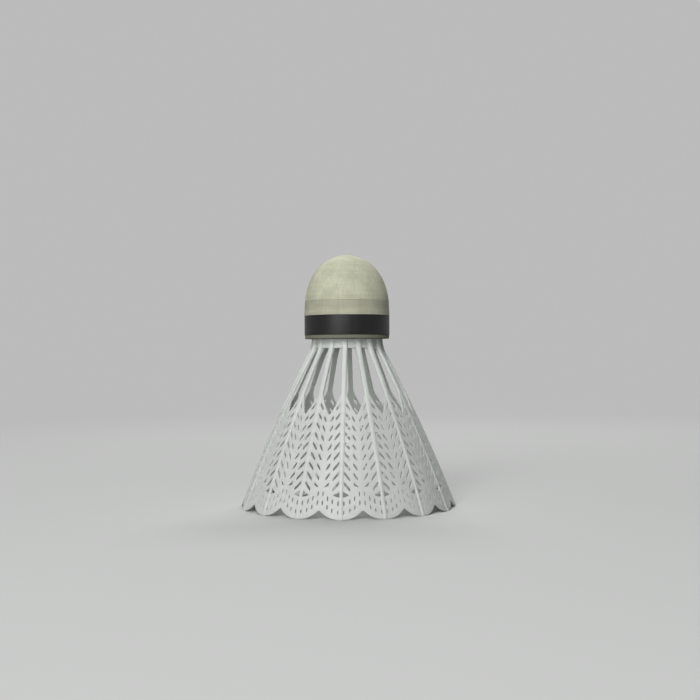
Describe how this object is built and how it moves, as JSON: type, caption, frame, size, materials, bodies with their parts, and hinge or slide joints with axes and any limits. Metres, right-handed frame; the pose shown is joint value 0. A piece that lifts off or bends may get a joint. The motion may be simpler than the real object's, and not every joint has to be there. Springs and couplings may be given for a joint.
{
  "type": "badminton shuttlecock",
  "caption": "Badminton shuttlecock: domed cork-like head with a black tape band, glued on a one-piece moulded skirt of ribs and slotted feather-shaped vanes with a scalloped rim.",
  "frame": {"origin": "on the axis, in the plane of the petal tips that it stands on", "axes": "+Z along the axis from the rim to the nose, -Y through the middle of one rib"},
  "size_m": [0.067, 0.067, 0.078],
  "materials": {
    "pale_head": "bare, finely turned",
    "greyer_head": "bare, finely turned",
    "black_tape": "glossy tape",
    "clear_glue": "set glue",
    "white_moulding": "satin moulded"
  },
  "bodies": {
    "root": {"head_nose": "pale_head", "head_base": "greyer_head", "head_band": "black_tape", "plug_glue": "clear_glue", "skirt": "white_moulding"}
  },
  "joints": []
}
